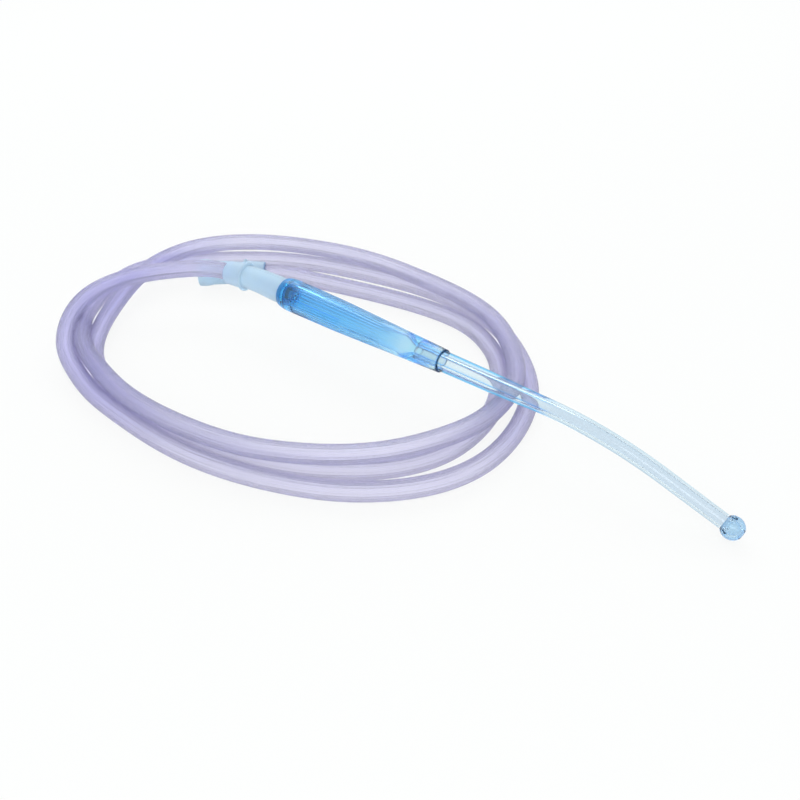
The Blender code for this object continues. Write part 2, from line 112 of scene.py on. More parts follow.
# Shaft, measured from the handle's front face forwards
SHAFT_PLUG_LENGTH = 0.0140
SHAFT_PLUG_RADIUS = 0.0042
SHAFT_BORE_RADIUS = 0.0022
SHAFT_ROOT_RADIUS = 0.0052
SHAFT_STRAIGHT = 0.0571
SHAFT_BEND_LENGTH = 0.0633
SHAFT_BEND_ANGLE = math.radians(17.0)
SHAFT_TIP_STRAIGHT = 0.0292
SHAFT_SHOULDER_END = 0.0270
SHAFT_SHOULDER_RADIUS = 0.0049
SHAFT_SLIM_START = 0.0550
SHAFT_SLIM_RADIUS = 0.00415
SHAFT_TIP_RADIUS = 0.00352
SHAFT_NOSE_RADIUS = 0.0029
SHAFT_NOSE_LENGTH = 0.0030
SHAFT_SIDES = 96
SHAFT_RINGS = 200

# Ball tip
BALL_RADIUS = 0.00525
BALL_CHAMBER_RADIUS = 0.0031
END_EYE_RADIUS = 0.0018
SIDE_EYE_RADIUS = 0.0012
SIDE_EYE_COUNT = 4
SIDE_EYE_SETBACK = 0.0015
BALL_SIDES = 96

# Connectors
NEAR_CUFF_LENGTH = 0.0325
FAR_CUFF_LENGTH = 0.0265
CUFF_NECK_RADIUS = 0.0064
CUFF_MOUTH_RADIUS = 0.0071
FREE_MOUTH_RADIUS = 0.0079
CUFF_RIB_HEIGHT = 0.00035
MOUTH_FLARE_LENGTH = 0.0090
MOUTH_SWELL_SHARE = 0.55
LIP_ROUND = 0.0008
FLANGE_RADIUS = 0.0081
FLANGE_THICKNESS = 0.0018
COLLAR_LENGTH = 0.0110
COLLAR_ROOT_RADIUS = 0.0071
COLLAR_END_RADIUS = 0.0065
COLLAR_ROUND = 0.0008
STOP_THICKNESS = 0.0016
CONNECTOR_LUMEN_RADIUS = 0.0032
CONNECTOR_FLEX = math.radians(13)
CONNECTOR_FLEX_LENGTH = 0.0145
CONNECTOR_SIDES = 96

# Where the pieces lie
HANDLE_FRONT_X = -0.0115
HANDLE_FRONT_Y = 0.0095
HANDLE_HEADING = math.radians(-39.95)
FAR_MOUTH = Vector((-0.1520, 0.1325, FLANGE_RADIUS + CLEARANCE))

# Sky: strength overhead, added towards front and back, and lost to the sides
SKY_COLOUR = (0.89, 0.935, 1.0)
SKY_OVERHEAD = 0.68
SKY_AHEAD = 1.37
SKY_ASIDE = 0.67
SKY_IN_GLASS = 0.82

# Two weak lamps, each with its name and place
SOFTBOXES = (
    ("front_softbox", (-0.10, -0.85, 0.70)),
    ("back_softbox", (-0.10, 0.95, 0.75)),
)
SOFTBOX_WIDTH = 1.2
SOFTBOX_DEPTH = 0.5
SOFTBOX_WATTS = 3.5

# Pale floor, with the glow that keeps it near white and the share left for shadow
FLOOR_WHITE = (0.985, 0.99, 0.98)
FLOOR_GLOW = 0.985
FLOOR_SHADOW_SHARE = 0.10
FLOOR_HALF_WIDTH = 4.0
FLOOR_DROP = 0.0001

# Lilac of the tubing, and a painted shade that darkens the coil's left and right turns,
# where less light falls on them. The painted shade comes in between two distances from
# a middle that lies right of the coil's own, so that the left turn gets more of it.
LILAC_DEEP = (0.91, 0.90, 1.00)
LILAC_PALE = (1.00, 0.995, 1.00)
LILAC_RIM = (0.76, 0.72, 0.95)
LILAC_PAINTED_SIDE_SHADE = (0.82, 0.81, 0.99)
SIDE_SHADE_MIDDLE_X = -0.065
SIDE_SHADE_START = 0.07
SIDE_SHADE_FULL = 0.12
SIDE_SHADE_SHARE = 0.7

# Powder blue of the connectors, and the painted shade at each collar's end where the tubing enters
POWDER_DEEP = (0.67, 0.86, 1.00)
POWDER_PALE = (0.75, 0.92, 1.00)
COLLAR_END_PAINTED_SHADE = (0.22, 0.42, 0.78)
COLLAR_END_SHADE_SHARE = 0.7

# Colours of the clear pieces, each at a height along the piece's own Z. The shaft's
# ring near the handle is one of these colours, not a shape.
WHITE = (1.0, 1.0, 1.0)
HANDLE_SHADES = (
    (-HANDLE_LENGTH, (0.26, 0.76, 1.00)),
    (-0.1015, (0.28, 0.80, 1.00)),
    (-0.0990, (0.46, 0.84, 1.00)),
    (-0.0940, (0.54, 0.86, 1.00)),
    (-0.0600, (0.60, 0.89, 1.00)),
    (-FLUTE_FRONT, (0.82, 0.96, 1.00)),
    (-0.0180, WHITE),
    (-0.0011, WHITE),
    (0.0, (0.25, 0.55, 1.00)),
)
HANDLE_RIM_SHADES = (
    (-HANDLE_LENGTH, (0.07, 0.42, 1.00)),
    (-FLUTE_FRONT, (0.10, 0.50, 1.00)),
    (0.0, (0.40, 0.72, 1.00)),
)
SHAFT_SHADES = (
    (-SHAFT_PLUG_LENGTH, WHITE),
    (0.0027, WHITE),
    (0.0030, (0.55, 0.72, 0.92)),
    (0.0034, WHITE),
    (0.0450, (0.98, 1.00, 1.00)),
    (0.0640, (0.85, 0.90, 0.95)),
    (0.1500, (0.85, 0.90, 0.95)),
)
SHAFT_RIM_SHADES = (
    (-SHAFT_PLUG_LENGTH, (0.06, 0.50, 1.00)),
    (0.0560, (0.06, 0.48, 1.00)),
    (0.0640, (0.74, 0.84, 0.92)),
    (0.1500, (0.74, 0.84, 0.92)),
)
TIP_SHADES = (
    (-BALL_RADIUS, (0.76, 0.89, 0.97)),
    (BALL_RADIUS, (0.79, 0.90, 0.97)),
)
TIP_RIM_SHADES = (
    (-BALL_RADIUS, (0.30, 0.58, 0.98)),
    (BALL_RADIUS, (0.30, 0.58, 0.98)),
)

# Tinted panels and dark marks of the handle, and the faint streaks in clear plastic
PANEL_BLUE = (0.36, 0.81, 1.00)
PANEL_SHARE = 0.8
PANEL_EDGE_SHARE = 3.0
DEEP_BLUE = (0.03, 0.32, 1.00)
STREAK_BLUE = (0.15, 0.55, 1.00)
STREAKS_ON_FLUTES = 0.45
STREAKS_AHEAD = 0.02
STREAK_STRETCH = 5.0
POLISH = 0.03

# Route of the tubing from the far connector to the near one
ROUTE = (
    (-0.0905, 0.1300, 0.0065),
    (-0.0625, 0.1200, 0.0049),
    (-0.0280, 0.1025, 0.0049),
    (-0.0105, 0.0910, 0.0049),
    (0.0045, 0.0765, 0.0049),
    (0.0140, 0.0585, 0.0049),
    (0.0183, 0.0395, 0.0049),
    (0.0178, 0.0195, 0.0049),
    (0.0130, -0.0025, 0.0049),
    (0.0030, -0.0215, 0.0049),
    (-0.0120, -0.0375, 0.0049),
    (-0.0315, -0.0470, 0.0049),
    (-0.0575, -0.0500, 0.0049),
    (-0.0885, -0.0450, 0.0049),
    (-0.1195, -0.0305, 0.0049),
    (-0.1465, -0.0125, 0.0049),
    (-0.1700, 0.0100, 0.0049),
    (-0.1860, 0.0300, 0.0049),
    (-0.1940, 0.0495, 0.0050),
    (-0.1960, 0.0725, 0.0065),
    (-0.1905, 0.1005, 0.0110),
    (-0.1790, 0.1325, 0.0135),
    (-0.1595, 0.1525, 0.0146),
    (-0.1300, 0.1613, 0.0146),
    (-0.0860, 0.1540, 0.0146),
    (-0.0510, 0.1380, 0.0146),
    (-0.0175, 0.1110, 0.0146),
    (0.0065, 0.0855, 0.0146),
    (0.0185, 0.0645, 0.0146),
    (0.0242, 0.0415, 0.0146),
    (0.0255, 0.0220, 0.0146),
    (0.0232, 0.0050, 0.0146),
    (0.0170, -0.0090, 0.0146),
    (0.0055, -0.0250, 0.0146),
    (-0.0160, -0.0400, 0.0146),
    (-0.0365, -0.0480, 0.0146),
    (-0.0585, -0.0510, 0.0146),
    (-0.0805, -0.0495, 0.0146),
    (-0.1005, -0.0450, 0.0146),
    (-0.1285, -0.0315, 0.0146),
    (-0.1520, -0.0150, 0.0146),
    (-0.1670, -0.0008, 0.0146),
    (-0.1805, 0.0162, 0.0146),
    (-0.1900, 0.0305, 0.0146),
    (-0.1978, 0.0465, 0.0133),
    (-0.2040, 0.0670, 0.0108),
    (-0.2070, 0.0905, 0.0075),
    (-0.2060, 0.1090, 0.0055),
    (-0.2015, 0.1255, 0.0049),
    (-0.1935, 0.1400, 0.0049),
    (-0.1795, 0.1500, 0.0049),
    (-0.1565, 0.1555, 0.0049),
    (-0.1300, 0.1575, 0.0049),
    (-0.1065, 0.1560, 0.0049),
    (-0.0855, 0.1513, 0.0049),
    (-0.0615, 0.1420, 0.0049),
    (-0.0385, 0.1310, 0.0049),
    (-0.0145, 0.1160, 0.0049),
    (0.0055, 0.0975, 0.0049),
    (0.0192, 0.0785, 0.0049),
    (0.0275, 0.0565, 0.0049),
    (0.0318, 0.0335, 0.0049),
    (0.0320, 0.0115, 0.0049),
    (0.0270, -0.0090, 0.0049),
    (0.0175, -0.0290, 0.0049),
    (0.0050, -0.0450, 0.0049),
    (-0.0145, -0.0580, 0.0049),
    (-0.0375, -0.0638, 0.0049),
    (-0.0595, -0.0638, 0.0049),
    (-0.0875, -0.0575, 0.0049),
    (-0.1155, -0.0460, 0.0049),
    (-0.1415, -0.0295, 0.0050),
    (-0.1660, -0.0085, 0.0053),
    (-0.1850, 0.0105, 0.0060),
    (-0.1985, 0.0290, 0.0079),
    (-0.2068, 0.0450, 0.0110),
    (-0.2090, 0.0585, 0.0146),
    (-0.2073, 0.0710, 0.0183),
    (-0.2020, 0.0825, 0.0210),
    (-0.1925, 0.0925, 0.0226),
    (-0.1775, 0.1010, 0.0236),
    (-0.1615, 0.1055, 0.0240),
)


def place_camera():
    data = bpy.data.cameras.new("photo_camera")
    data.sensor_width = SENSOR_MM
    data.lens = FOCAL_PIXELS * SENSOR_MM / PHOTO_WIDTH
    data.clip_start = 0.01
    camera = bpy.data.objects.new("photo_camera", data)
    bpy.context.scene.collection.objects.link(camera)
    camera.location = CAMERA_PLACE
    camera.rotation_euler = (math.radians(90) - CAMERA_DOWN, 0.0, 0.0)
    bpy.context.scene.camera = camera


# Shared node tools

# Inputs and output of a Mix node that mixes colours
MIX_SHARE = 0
MIX_LOW = 6
MIX_HIGH = 7
MIX_RESULT = 2


def fill(tree, place, value):
    """Gives a node's input a plain value, or a link."""
    if isinstance(value, Value):
        value = value.socket
    if isinstance(value, bpy.types.NodeSocket):
        tree.links.new(value, place)
    else:
        place.default_value = value


def add_node(tree, kind, settings=(), **sockets):
    """Adds a node, sets its settings, then its inputs by value or by link."""
    node = tree.nodes.new(kind)
    for key, value in dict(settings).items():
        setattr(node, key, value)
    for label, value in sockets.items():
        fill(tree, node.inputs[label.replace("_", " ")], value)
    return node


def add_shader_mix(tree, share, low, high):
    """Adds a Mix Shader between two shader nodes."""
    mix = add_node(tree, "ShaderNodeMixShader", Fac=share)
    tree.links.new(low.outputs[0], mix.inputs[1])
    tree.links.new(high.outputs[0], mix.inputs[2])
    return mix


class Value:
    """A shader socket whose operators add Math nodes."""

    def __init__(self, tree, socket):
        self.tree = tree
        self.socket = socket

    def maths(self, operation, *others, turned_round=False):
        node = add_node(self.tree, "ShaderNodeMath", {"operation": operation})
        terms = [self, *others]
        if turned_round:
            terms.reverse()
        for place, term in zip(node.inputs, terms):
            fill(self.tree, place, term)
        return Value(self.tree, node.outputs[0])

    def __add__(self, other):
        return self.maths("ADD", other)

    def __sub__(self, other):
        return self.maths("SUBTRACT", other)

    def __mul__(self, other):
        return self.maths("MULTIPLY", other)

    def __rsub__(self, other):
        return self.maths("SUBTRACT", other, turned_round=True)

    __radd__ = __add__
    __rmul__ = __mul__


# Shared shape tools


def stations(first, last, count):
    """Evenly spaced values from first to last, both included."""
    return [first + (last - first) * i / (count - 1) for i in range(count)]


def blend(value, low, high):
    """0 below low, 1 above high and smooth between them."""
    share = min(max((value - low) / (high - low), 0.0), 1.0)
    return share * share * (3 - 2 * share)


def corner(centre, radius, first, last, count):
    """Points of a round edge on a (radius, height) outline, angles in degrees."""
    found = []
    for degrees in stations(first, last, count):
        angle = math.radians(degrees)
        found.append((centre[0] + radius * math.cos(angle), centre[1] + radius * math.sin(angle)))
    return found


def turned(outline, sides):
    """A bmesh turned about local Z from a closed outline of (radius, height)."""
    mesh = bmesh.new()
    own = mesh.verts.layers.float_vector.new("own_place")
    rings = []
    for radius, height in outline:
        ring = []
        for i in range(sides):
            angle = 2 * math.pi * i / sides
            spot = (radius * math.cos(angle), radius * math.sin(angle), height)
            vertex = mesh.verts.new(spot)
            vertex[own] = spot
            ring.append(vertex)
        rings.append(ring)
    for lower, upper in zip(rings, rings[1:] + rings[:1]):
        for i in range(sides):
            after = (i + 1) % sides
            mesh.faces.new((lower[i], upper[i], upper[after], lower[after]))
    bmesh.ops.recalc_face_normals(mesh, faces=mesh.faces)
    return mesh


def bend(mesh, start, length, angle):
    """Bends what stands along local Z towards local -Y."""
    radius = length / angle
    for vertex in mesh.verts:
        x, y, z = vertex.co
        if z <= start:
            continue
        turn = min((z - start) / radius, angle)
        rest = max(z - start - length, 0.0)
        fall = radius * (1 - math.cos(turn)) + rest * math.sin(turn)
        reach = radius * math.sin(turn) + rest * math.cos(turn)
        vertex.co = (x, y * math.cos(turn) - fall, start + reach + y * math.sin(turn))


def bent_point(height, start, length, angle):
    """Where bend() puts a point of the axis beyond the bend."""
    radius = length / angle
    rest = height - start - length
    fall = radius * (1 - math.cos(angle)) + rest * math.sin(angle)
    reach = radius * math.sin(angle) + rest * math.cos(angle)
    return Vector((0.0, -fall, start + reach))


def frame_of(up, forward, place):
    """A placing matrix whose local Y is up and local Z is forward."""
    side = up.cross(forward)
    turn = Matrix((side, up, forward)).transposed()
    return Matrix.Translation(place) @ turn.to_4x4()


def made_piece(name, mesh, place):
    """Turns a bmesh into a piece whose place is in its mesh."""
    mesh.transform(place)
    data = bpy.data.meshes.new(name)
    mesh.to_mesh(data)
    mesh.free()
    data.shade_smooth()
    data.set_sharp_from_angle(angle=SHARP_EDGE)
    piece = bpy.data.objects.new(name, data)
    bpy.context.scene.collection.objects.link(piece)
    return piece


# Places of the pieces, as on the solids


def shaft_length():
    return SHAFT_STRAIGHT + SHAFT_BEND_LENGTH + SHAFT_TIP_STRAIGHT


def ball_spot():
    ball_face = math.sqrt(BALL_RADIUS ** 2 - SHAFT_TIP_RADIUS ** 2)
    reach = shaft_length() + CLEARANCE + ball_face
    return bent_point(reach, SHAFT_STRAIGHT, SHAFT_BEND_LENGTH, SHAFT_BEND_ANGLE)


def connector_length(cuff_length):
    return cuff_length + FLANGE_THICKNESS + COLLAR_LENGTH


def flex_start(cuff_length):
    return cuff_length + FLANGE_THICKNESS - CONNECTOR_FLEX_LENGTH


UP = Vector((0.0, 0.0, 1.0))
FORWARD = Vector((math.cos(HANDLE_HEADING), math.sin(HANDLE_HEADING), 0.0))
ACROSS = UP.cross(FORWARD)
HANDLE_FRONT = Vector((HANDLE_FRONT_X, HANDLE_FRONT_Y, BALL_RADIUS - ball_spot().y))
HANDLE_PLACE = frame_of(UP, FORWARD, HANDLE_FRONT)
NEAR_MOUTH = HANDLE_FRONT - FORWARD * (HANDLE_LENGTH - RECESS_DEPTH + CLEARANCE)
NEAR_PLACE = frame_of(ACROSS, -FORWARD, NEAR_MOUTH)
FAR_PLACE = frame_of(UP, Vector((1.0, 0.0, 0.0)), FAR_MOUTH)


# Tubing


def smooth_curve(points, step):
    """Reads points a step apart from a natural cubic spline through points."""
    points = np.array(points)
    steps = np.linalg.norm(np.diff(points, axis=0), axis=1)
    at = np.concatenate(([0.0], np.cumsum(steps)))
    size = len(points)
    matrix = np.zeros((size, size))
    right = np.zeros((size, 3))
    matrix[0, 0] = matrix[-1, -1] = 1.0
    slopes = np.diff(points, axis=0) / steps[:, None]
    for i in range(1, size - 1):
        matrix[i, i - 1:i + 2] = steps[i - 1], 2 * (steps[i - 1] + steps[i]), steps[i]
        right[i] = 6 * (slopes[i] - slopes[i - 1])
    bows = np.linalg.solve(matrix, right)
    found = []
    for value in np.linspace(0.0, at[-1], int(at[-1] / step) + 1):
        i = min(int(np.searchsorted(at, value, side="right")) - 1, size - 2)
        gap = steps[i]
        a = (at[i + 1] - value) / gap
        b = 1.0 - a
        pull = ((a ** 3 - a) * bows[i] + (b ** 3 - b) * bows[i + 1]) * gap * gap / 6
        found.append(a * points[i] + b * points[i + 1] + pull)
    return found


def tubing_path():
    """Middle line of the tubing, from the far connector's seat to the near one's."""
    past_collar = (-TUBING_SEAT, 0.0, TUBING_RADIUS)
    far_points = []
    for past in past_collar:
        height = connector_length(FAR_CUFF_LENGTH) + past
        far_points.append(FAR_PLACE @ Vector((0.0, 0.0, height)))
    near_points = []
    for past in reversed(past_collar):
        height = connector_length(NEAR_CUFF_LENGTH) + past
        flex_from = flex_start(NEAR_CUFF_LENGTH)
        spot = bent_point(height, flex_from, CONNECTOR_FLEX_LENGTH, CONNECTOR_FLEX)
        near_points.append(NEAR_PLACE @ spot)
    route = [Vector(point) for point in ROUTE]
    return smooth_curve(far_points + route + near_points, TUBING_STEP)


def new_tree(name, inputs):
    """A geometry tree with named number inputs, and its first and last nodes."""
    tree = bpy.data.node_groups.new(name, "GeometryNodeTree")
    tree.interface.new_socket("Geometry", in_out="INPUT", socket_type="NodeSocketGeometry")
    for label, kind, value in inputs:
        socket = tree.interface.new_socket(label, in_out="INPUT", socket_type=kind)
        socket.default_value = value
    tree.interface.new_socket("Geometry", in_out="OUTPUT", socket_type="NodeSocketGeometry")
    return tree, tree.nodes.new("NodeGroupInput"), tree.nodes.new("NodeGroupOutput")


def tubing_tree(finish):
    """Sweeps the tubing's outer skin and its bore along the path."""
    number, whole = "NodeSocketFloat", "NodeSocketInt"
    tree, start, end = new_tree("tubing_sweep", (
        ("Outer Radius", number, TUBING_RADIUS),
        ("Bore Radius", number, TUBING_BORE),
        ("Outer Sides", whole, TUBING_SIDES),
        ("Bore Sides", whole, BORE_SIDES),
    ))
    line = add_node(tree, "GeometryNodeMeshToCurve", Mesh=start.outputs["Geometry"])
    skins = add_node(tree, "GeometryNodeJoinGeometry")
    for label, flip in (("Bore", True), ("Outer", False)):
        ring = add_node(tree, "GeometryNodeCurvePrimitiveCircle",
                        Resolution=start.outputs[label + " Sides"],
                        Radius=start.outputs[label + " Radius"])
        turn = add_node(tree, "GeometryNodeSplineParameter")
        marked = add_node(tree, "GeometryNodeStoreNamedAttribute",
                          {"data_type": "FLOAT", "domain": "POINT"},
                          Geometry=ring.outputs["Curve"], Name="around",
                          Value=turn.outputs["Factor"])
        skin = add_node(tree, "GeometryNodeCurveToMesh",
                        Curve=line.outputs["Curve"],
                        Profile_Curve=marked.outputs["Geometry"])
        last = skin.outputs["Mesh"]
        if flip:
            last = add_node(tree, "GeometryNodeFlipFaces", Mesh=last).outputs["Mesh"]
        tree.links.new(last, skins.inputs["Geometry"])
    real = add_node(tree, "GeometryNodeRealizeInstances", Geometry=skins.outputs["Geometry"])
    coloured = add_node(tree, "GeometryNodeSetMaterial",
                        Geometry=real.outputs["Geometry"], Material=finish)
    tree.links.new(coloured.outputs["Geometry"], end.inputs["Geometry"])
    return tree


def plain_mesh(thing, name):
    """The evaluated result of an object's modifiers as a new plain piece."""
    graph = bpy.context.evaluated_depsgraph_get()
    graph.update()
    data = bpy.data.meshes.new_from_object(thing.evaluated_get(graph))
    bpy.data.objects.remove(thing, do_unlink=True)
    data.name = name
    piece = bpy.data.objects.new(name, data)
    bpy.context.scene.collection.objects.link(piece)
    return piece


def make_tubing(finish):
    points = tubing_path()
    line = bpy.data.meshes.new("tubing_path")
    line.from_pydata(points, [(i, i + 1) for i in range(len(points) - 1)], [])
    path = bpy.data.objects.new("tubing_path", line)
    bpy.context.scene.collection.objects.link(path)
    sweep = path.modifiers.new("Sweep", "NODES")
    sweep.node_group = tubing_tree(finish)
    tubing = plain_mesh(path, "lilac_tubing")
    close_tube_ends(tubing, points[0])
    tubing.data.shade_smooth()
    return tubing, points


def close_tube_ends(tubing, first_end):
    """Joins the skin to the bore with a flat ring at both ends."""
    mesh = bmesh.new()
    mesh.from_mesh(tubing.data)
    mesh.verts.ensure_lookup_table()
    open_edges = [edge for edge in mesh.edges if len(edge.link_faces) == 1]
    at_first = {edge: (edge.verts[0].co - Vector(first_end)).length < 2 * TUBING_RADIUS
                for edge in open_edges}
    for end in (True, False):
        loops = [edge for edge in open_edges if at_first[edge] == end]
        bmesh.ops.bridge_loops(mesh, edges=loops)
    bmesh.ops.recalc_face_normals(mesh, faces=mesh.faces)
    mesh.to_mesh(tubing.data)
    mesh.free()


# Handle


def handle_radius(depth):
    """Outer radius of the handle at a depth behind its front face."""
    if depth < HANDLE_WAIST_STATION:
        share = depth / HANDLE_WAIST_STATION
        return HANDLE_FRONT_RADIUS + (HANDLE_WAIST_RADIUS - HANDLE_FRONT_RADIUS) * share
    shoulder = HANDLE_LENGTH - HANDLE_DOME_LENGTH
    if depth < shoulder:
        share = (depth - HANDLE_WAIST_STATION) / (shoulder - HANDLE_WAIST_STATION)
        return HANDLE_WAIST_RADIUS + (HANDLE_REAR_RADIUS - HANDLE_WAIST_RADIUS) * share
    share = min((depth - shoulder) / HANDLE_DOME_LENGTH, 1.0)
    drop = HANDLE_REAR_RADIUS - HANDLE_REAR_LIP_RADIUS
    return HANDLE_REAR_RADIUS - drop * (1 - math.sqrt(1 - share * share))


def handle_outline():
    socket_radius = SHAFT_PLUG_RADIUS + CLEARANCE
    socket_end = SHAFT_PLUG_LENGTH + CLEARANCE
    recess_radius = CUFF_MOUTH_RADIUS + CLEARANCE
    recess_floor = HANDLE_LENGTH - RECESS_DEPTH
    spigot_end = recess_floor + SPIGOT_LENGTH
    cavity_end = recess_floor - HANDLE_WALL
    shoulder = HANDLE_LENGTH - HANDLE_DOME_LENGTH
    rounding = HANDLE_EDGE_ROUND
    outer = corner((HANDLE_FRONT_RADIUS - rounding, -rounding), rounding, 90, 0, 5)
    depths = stations(rounding, FLUTE_FRONT, 8)[1:-1]
    depths += stations(FLUTE_FRONT, PANEL_FRONT - PANEL_STEP, 24)
    depths += [PANEL_FRONT, PANEL_FRONT + PANEL_STEP]
    depths += stations(PANEL_FRONT, PANEL_REAR, 8)[1:-1]
    depths += [PANEL_REAR - PANEL_STEP, PANEL_REAR, PANEL_REAR + PANEL_STEP]
    depths += stations(PANEL_REAR, shoulder, 5)[2:]
    for degrees in stations(0, 90, 10)[1:]:
        depths.append(shoulder + HANDLE_DOME_LENGTH * math.sin(math.radians(degrees)))
    outer += [(handle_radius(depth), -depth) for depth in depths]
    rear = [
        (recess_radius, -HANDLE_LENGTH),
        (recess_radius, -recess_floor),
        (SPIGOT_RADIUS, -recess_floor),
        (SPIGOT_RADIUS, -(spigot_end - SPIGOT_LEAD_IN)),
        (SPIGOT_TIP_RADIUS, -spigot_end),
        (SPIGOT_BORE_RADIUS, -spigot_end),
    ]
    cavity_start = CAVITY_FRONT + CAVITY_CONE
    inside = [(SPIGOT_BORE_RADIUS, -cavity_end)]
    for depth in stations(cavity_end, cavity_start, 16):
        inside.append((handle_radius(min(depth, shoulder)) - HANDLE_WALL, -depth))
    inside += [
        (SHAFT_BORE_RADIUS, -CAVITY_FRONT),
        (SHAFT_BORE_RADIUS, -socket_end),
        (socket_radius, -socket_end),
        (socket_radius, 0.0),
    ]
    return outer + rear + inside


def shape_handle_skin(mesh):
    """Sinks the flutes and the side panels, and marks the tinted middle of each panel."""
    marked = mesh.verts.layers.float.new("panel")
    for vertex in mesh.verts:
        x, y, z = vertex.co
        depth = -z
        radius = math.hypot(x, y)
        if depth < 0 or depth > HANDLE_LENGTH or radius < handle_radius(depth) - WELD:
            continue
        angle = math.atan2(y, x)
        run = blend(depth, FLUTE_FRONT, FLUTE_FRONT + FLUTE_RUN_OUT)
        run *= 1 - blend(depth, FLUTE_REAR - FLUTE_RUN_OUT, FLUTE_REAR)
        sink = FLUTE_DEPTH * run * 0.5 * (1 - math.cos(FLUTE_COUNT * angle))
        off_side = min(abs(angle), math.pi - abs(angle))
        panel = blend(PANEL_HALF_ANGLE - off_side, 0.0, PANEL_EDGE_ANGLE)
        panel *= blend(depth, PANEL_FRONT, PANEL_FRONT + PANEL_STEP)
        panel *= 1 - blend(depth, PANEL_REAR - PANEL_STEP, PANEL_REAR)
        sink += PANEL_DEPTH * panel
        vertex[marked] = panel * blend(PANEL_TINT_ANGLE - off_side, 0.0, PANEL_EDGE_ANGLE)
        share = (radius - sink) / radius
        vertex.co = (x * share, y * share, z)


def make_handle():
    mesh = turned(handle_outline(), FLUTE_COUNT * FLUTE_SIDES)
    shape_handle_skin(mesh)
    return made_piece("blue_handle", mesh, HANDLE_PLACE)


# Shaft


def shaft_radius(reach):
    """Outer radius of the shaft at a reach in front of the handle."""
    knots = (
        (0.0, SHAFT_ROOT_RADIUS),
        (SHAFT_SHOULDER_END, SHAFT_SHOULDER_RADIUS),
        (SHAFT_SLIM_START, SHAFT_SLIM_RADIUS),
        (shaft_length(), SHAFT_TIP_RADIUS),
    )
    for (low, radius_low), (high, radius_high) in zip(knots, knots[1:]):
        if reach <= high:
            return radius_low + (radius_high - radius_low) * (reach - low) / (high - low)
    return SHAFT_TIP_RADIUS


def shaft_outline():
    end = shaft_length()
    nose = [
        (SHAFT_BORE_RADIUS, end + SHAFT_NOSE_LENGTH),
        (SHAFT_NOSE_RADIUS, end + SHAFT_NOSE_LENGTH),
        (SHAFT_NOSE_RADIUS, end),
    ]
    reaches = stations(end, HANDLE_EDGE_ROUND + CLEARANCE, SHAFT_RINGS)
    outer = [(shaft_radius(reach), reach) for reach in reaches]
    root = [
        (SHAFT_ROOT_RADIUS - HANDLE_EDGE_ROUND, CLEARANCE),
        (SHAFT_PLUG_RADIUS, CLEARANCE),
        (SHAFT_PLUG_RADIUS, -SHAFT_PLUG_LENGTH),
        (SHAFT_BORE_RADIUS, -SHAFT_PLUG_LENGTH),
    ]
    bore = [(SHAFT_BORE_RADIUS, reach) for reach in stations(0.0, end, SHAFT_RINGS)]
    return nose + outer + root + bore


def make_shaft():
    mesh = turned(shaft_outline(), SHAFT_SIDES)
    bend(mesh, SHAFT_STRAIGHT, SHAFT_BEND_LENGTH, SHAFT_BEND_ANGLE)
    return made_piece("clear_shaft", mesh, HANDLE_PLACE)


# Ball tip


def ball_outline():
    """Hollow ball with its centre at height 0 and the shaft's socket below."""
    seat_radius = SHAFT_NOSE_RADIUS + CLEARANCE
    seat_face = -math.sqrt(BALL_RADIUS ** 2 - SHAFT_TIP_RADIUS ** 2)
    seat_floor = seat_face + SHAFT_NOSE_LENGTH
    front_angle = math.asin(END_EYE_RADIUS / BALL_RADIUS)
    seat_angle = math.acos(seat_face / BALL_RADIUS)
    outer = []
    for angle in stations(front_angle, seat_angle, 40):
        outer.append((BALL_RADIUS * math.sin(angle), BALL_RADIUS * math.cos(angle)))
    inner = [
        (seat_radius, seat_face),
        (seat_radius, seat_floor),
        (BALL_CHAMBER_RADIUS, seat_floor),
    ]
    roof_angle = math.acos(END_EYE_RADIUS / BALL_CHAMBER_RADIUS)
    for angle in stations(0.0, roof_angle, 10):
        inner.append((BALL_CHAMBER_RADIUS * math.cos(angle), BALL_CHAMBER_RADIUS * math.sin(angle)))
    return outer + inner


def make_ball():
    tilt = Matrix.Translation(ball_spot()) @ Matrix.Rotation(SHAFT_BEND_ANGLE, 4, "X")
    place = HANDLE_PLACE @ tilt
    ball = made_piece("blue_ball_tip", turned(ball_outline(), BALL_SIDES), place)
    drills = bmesh.new()
    for i in range(SIDE_EYE_COUNT):
        turn = Matrix.Rotation(2 * math.pi * i / SIDE_EYE_COUNT, 4, "Z")
        spot = Matrix.Translation((BALL_RADIUS, 0.0, -SIDE_EYE_SETBACK))
        lay_flat = Matrix.Rotation(math.radians(90), 4, "Y")
        bmesh.ops.create_cone(
            drills, cap_ends=True, segments=32, radius1=SIDE_EYE_RADIUS,
            radius2=SIDE_EYE_RADIUS, depth=BALL_RADIUS, matrix=turn @ spot @ lay_flat)
    cutter = made_piece("eye_drills", drills, place)
    saw = ball.modifiers.new("Side eyes", "BOOLEAN")
    saw.operation = "DIFFERENCE"
    saw.object = cutter
    pierced = plain_mesh(ball, "blue_ball_tip")
    bpy.data.objects.remove(cutter, do_unlink=True)
    pierced.data.shade_smooth()
    pierced.data.set_sharp_from_angle(angle=SHARP_EDGE)
    return pierced


# Connectors


